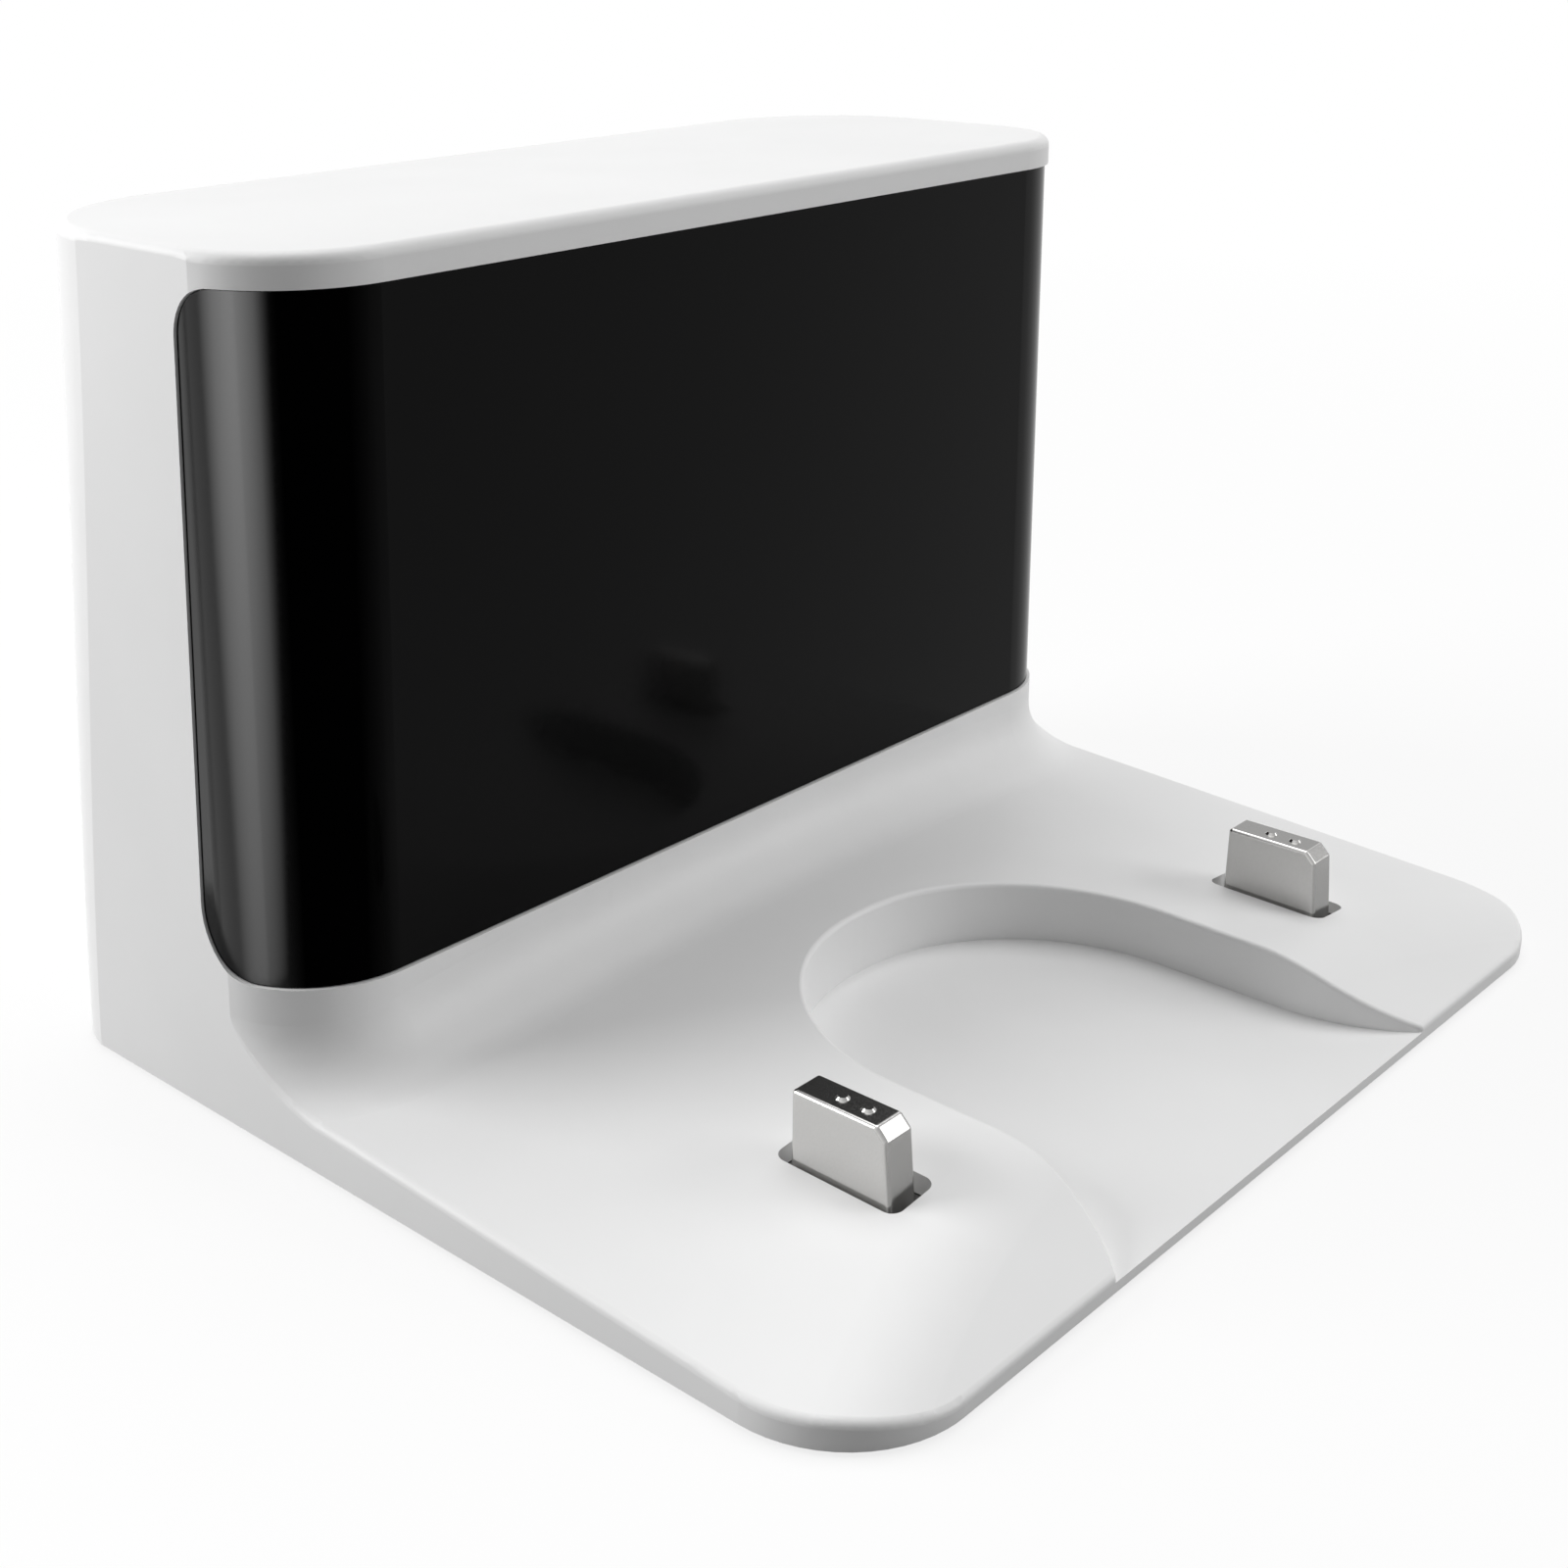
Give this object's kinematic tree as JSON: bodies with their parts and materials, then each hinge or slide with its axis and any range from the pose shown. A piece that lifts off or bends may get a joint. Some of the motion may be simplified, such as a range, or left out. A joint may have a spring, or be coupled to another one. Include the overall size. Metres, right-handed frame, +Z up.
{
  "type": "robot vacuum charging dock",
  "caption": "Floor dock with an upright tower, dark wrap-round window, crowned ramp with a caster well and sprung charging blades.",
  "frame": {"origin": "on the floor, at the middle of the dock's width and depth", "axes": "+X to the right seen from the front, -Y out over the ramp, +Y to the wall, +Z up"},
  "size_m": [0.151, 0.13, 0.1],
  "materials": {
    "white_plastic": "satin white moulded plastic",
    "window_plastic": "polished black, lets infrared through",
    "grey_plastic": "light grey moulded plastic",
    "black_plastic": "black moulded plastic",
    "plated_metal": "polished nickel plate",
    "spring_steel": "spring steel",
    "strip_brass": "bare brass strip",
    "board_laminate": "green board lacquer",
    "emitter_lens": "dark clear lamp resin",
    "ferrite": "dull dark ferrite and tape",
    "capacitor_can": "shrink sleeve",
    "sink_aluminium": "extruded aluminium",
    "screw_steel": "zinc plated",
    "foot_rubber": "dull rubber"
  },
  "bodies": {
    "dock": {"main_housing": "white_plastic", "front_window": "window_plastic", "base_plate": "white_plastic", "cord_tray": "grey_plastic", "inlet_socket": "black_plastic", "inlet_pins": "plated_metal", "mains_strips": "strip_brass", "left_contact_spring": "spring_steel", "right_contact_spring": "spring_steel", "left_contact_strip": "strip_brass", "right_contact_strip": "strip_brass", "power_board": "board_laminate", "ir_board": "board_laminate", "ir_emitters": "emitter_lens", "board_ribbon": "grey_plastic", "transformer": "ferrite", "bulk_capacitor": "capacitor_can", "smoothing_capacitor": "capacitor_can", "choke_coil": "ferrite", "heat_sink": "sink_aluminium", "fuse_link": "black_plastic", "base_screws": "screw_steel", "tray_screws": "screw_steel", "board_screws": "screw_steel", "front_left_foot": "foot_rubber", "front_right_foot": "foot_rubber", "rear_left_foot": "foot_rubber", "rear_right_foot": "foot_rubber"},
    "left_blade": {"left_contact": "plated_metal"},
    "right_blade": {"right_contact": "plated_metal"},
    "cover": {"rear_cover": "white_plastic"}
  },
  "joints": [
    {"name": "left_contact_press", "type": "slide", "parent": "dock", "child": "left_blade", "axis": [0, 0, 1], "range_m": [-0.0022, 0], "stiffness_N_per_m": 300, "springref_m": 0.003, "deforming": ["left_contact_spring"]},
    {"name": "right_contact_press", "type": "slide", "parent": "dock", "child": "right_blade", "axis": [0, 0, 1], "range_m": [-0.0022, 0], "stiffness_N_per_m": 300, "springref_m": 0.003, "deforming": ["right_contact_spring"]},
    {"name": "rear_cover_pull", "type": "slide", "parent": "dock", "child": "cover", "axis": [0, 1, 0], "range_m": [0, 0.03]}
  ]
}
